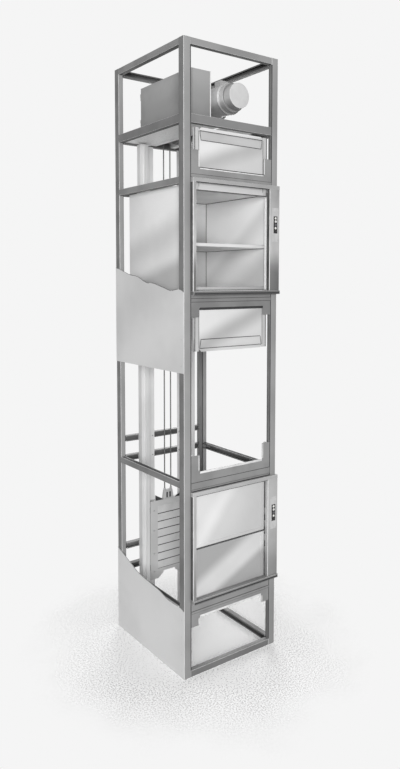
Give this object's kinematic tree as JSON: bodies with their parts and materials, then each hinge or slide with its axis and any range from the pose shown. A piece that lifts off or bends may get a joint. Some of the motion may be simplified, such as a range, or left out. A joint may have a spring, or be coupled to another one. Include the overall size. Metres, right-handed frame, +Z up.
{
  "type": "dumbwaiter lift",
  "caption": "Two-stop dumbwaiter lift: steel frame structure with roped car on a drive sheave, counterweight, bi-parting landing doors, push-button stations and controller cabinet.",
  "frame": {"origin": "centre of the whole lift's footprint, on the floor", "axes": "+Z up, -Y towards the landing side with the doors, +X towards the push-button side"},
  "size_m": [1.023, 1.181, 5.35],
  "materials": {
    "frame_paint": "satin grey powder coat on folded steel",
    "rail_zinc": "bright zinc-plated rolled steel",
    "cladding_paint": "pale grey coated sheet",
    "door_stainless": "vertically brushed stainless sheet",
    "surround_stainless": "brushed stainless sheet",
    "fascia_paint": "dark grey coated sheet",
    "car_steel": "brushed stainless panels",
    "cast_weight": "primed castings",
    "weight_paint": "grey painted steel",
    "slide_lining": "dark low-friction plastic",
    "wire_rope": "oiled stranded steel",
    "sheave_iron": "cast iron, machined rim",
    "shaft_steel": "ground steel",
    "gearbox_paint": "grey machine enamel on castings",
    "motor_paint": "grey machine enamel",
    "cowl_paint": "pale grey enamel on pressed steel",
    "cabinet_paint": "textured grey powder coat",
    "station_steel": "brushed stainless sheet",
    "station_black": "gloss black",
    "lamp_white": "opal white lens",
    "button_white": "gloss white",
    "button_grey": "gloss dark grey",
    "button_black": "gloss black"
  },
  "bodies": {
    "structure": {"front_left_post": "frame_paint", "front_right_post": "frame_paint", "rear_left_post": "frame_paint", "rear_right_post": "frame_paint", "front_crossbars": "frame_paint", "rear_crossbars": "frame_paint", "left_crossbars": "frame_paint", "right_crossbars": "frame_paint", "machine_floor_plate": "rail_zinc", "left_guide_rail": "rail_zinc", "right_guide_rail": "rail_zinc", "rail_brackets": "rail_zinc", "upper_side_cladding": "cladding_paint", "lower_side_cladding": "cladding_paint", "door_left_jambs": "surround_stainless", "door_control_jambs": "surround_stainless", "door_headers": "surround_stainless", "door_sills": "surround_stainless", "head_fascias": "fascia_paint", "sill_fascias": "fascia_paint", "door_guides": "rail_zinc", "control_plates": "station_steel", "button_strips": "station_black", "indicator_lamps": "lamp_white", "machine_bed": "frame_paint", "gearbox_housing": "gearbox_paint", "motor_frame": "motor_paint", "motor_fan_cowl": "cowl_paint", "motor_terminal_box": "motor_paint", "bearing_pedestal": "gearbox_paint", "cabinet_body": "cabinet_paint", "sheave_rope_turns": "wire_rope"},
    "sheave": {"drive_sheave": "sheave_iron", "sheave_shaft": "shaft_steel"},
    "car": {"car_floor": "car_steel", "car_left_wall": "car_steel", "car_right_wall": "car_steel", "car_back_wall": "car_steel", "car_roof": "car_steel", "car_shelf": "car_steel", "car_guide_shoes": "slide_lining", "car_rope_hitch": "weight_paint", "car_ropes": "wire_rope"},
    "counterweight": {"counterweight_frame": "weight_paint", "counterweight_plates": "cast_weight", "counterweight_guide_shoes": "slide_lining", "counterweight_rope_hitch": "weight_paint", "counterweight_ropes": "wire_rope"},
    "upper_top_leaf": {"upper_landing_top_leaf": "door_stainless"},
    "upper_bottom_leaf": {"upper_landing_bottom_leaf": "door_stainless"},
    "lower_top_leaf": {"lower_landing_top_leaf": "door_stainless"},
    "lower_bottom_leaf": {"lower_landing_bottom_leaf": "door_stainless"},
    "cabinet_door": {"cabinet_door": "cabinet_paint"},
    "upper_call_button": {"upper_call_button": "button_white"},
    "upper_send_button": {"upper_send_button": "button_grey"},
    "upper_stop_button": {"upper_stop_button": "button_black"},
    "lower_call_button": {"lower_call_button": "button_white"},
    "lower_send_button": {"lower_send_button": "button_grey"},
    "lower_stop_button": {"lower_stop_button": "button_black"}
  },
  "joints": [
    {"name": "car_slide", "type": "slide", "parent": "structure", "child": "car", "axis": [0, 0, 1], "range_m": [-2.62, 0], "deforming": ["car_ropes"]},
    {"name": "counterweight_slide", "type": "slide", "parent": "structure", "child": "counterweight", "axis": [0, 0, 1], "range_m": [0, 2.62], "deforming": ["counterweight_ropes"]},
    {"name": "sheave_turn", "type": "hinge", "parent": "structure", "child": "sheave", "pos_m": [0.0015, 0.263, 4.901], "axis": [1, 0, 0], "range_deg": [0, 680]},
    {"name": "upper_top_leaf_slide", "type": "slide", "parent": "structure", "child": "upper_top_leaf", "axis": [0, 0, 1], "range_m": [-0.41, 0]},
    {"name": "upper_bottom_leaf_slide", "type": "slide", "parent": "structure", "child": "upper_bottom_leaf", "axis": [0, 0, 1], "range_m": [0, 0.41]},
    {"name": "lower_top_leaf_slide", "type": "slide", "parent": "structure", "child": "lower_top_leaf", "axis": [0, 0, 1], "range_m": [0, 0.41]},
    {"name": "lower_bottom_leaf_slide", "type": "slide", "parent": "structure", "child": "lower_bottom_leaf", "axis": [0, 0, 1], "range_m": [-0.41, 0]},
    {"name": "cabinet_door_hinge", "type": "hinge", "parent": "structure", "child": "cabinet_door", "pos_m": [-0.3615, 0.3555, 4.9545], "axis": [0, 0, -1], "range_deg": [0, 100]},
    {"name": "upper_call_button_press", "type": "slide", "parent": "structure", "child": "upper_call_button", "axis": [0, 1, 0], "range_m": [0, 0.0025], "stiffness_N_per_m": 600},
    {"name": "upper_send_button_press", "type": "slide", "parent": "structure", "child": "upper_send_button", "axis": [0, 1, 0], "range_m": [0, 0.0025], "stiffness_N_per_m": 600},
    {"name": "upper_stop_button_press", "type": "slide", "parent": "structure", "child": "upper_stop_button", "axis": [0, 1, 0], "range_m": [0, 0.0025], "stiffness_N_per_m": 600},
    {"name": "lower_call_button_press", "type": "slide", "parent": "structure", "child": "lower_call_button", "axis": [0, 1, 0], "range_m": [0, 0.0025], "stiffness_N_per_m": 600},
    {"name": "lower_send_button_press", "type": "slide", "parent": "structure", "child": "lower_send_button", "axis": [0, 1, 0], "range_m": [0, 0.0025], "stiffness_N_per_m": 600},
    {"name": "lower_stop_button_press", "type": "slide", "parent": "structure", "child": "lower_stop_button", "axis": [0, 1, 0], "range_m": [0, 0.0025], "stiffness_N_per_m": 600}
  ],
  "couplings": [
    {"joint": "counterweight_slide", "follows": "car_slide", "ratio": -1},
    {"joint": "sheave_turn", "follows": "car_slide", "rad_per_m": -4.5147},
    {"joint": "upper_bottom_leaf_slide", "follows": "upper_top_leaf_slide", "ratio": -1},
    {"joint": "lower_bottom_leaf_slide", "follows": "lower_top_leaf_slide", "ratio": -1}
  ]
}
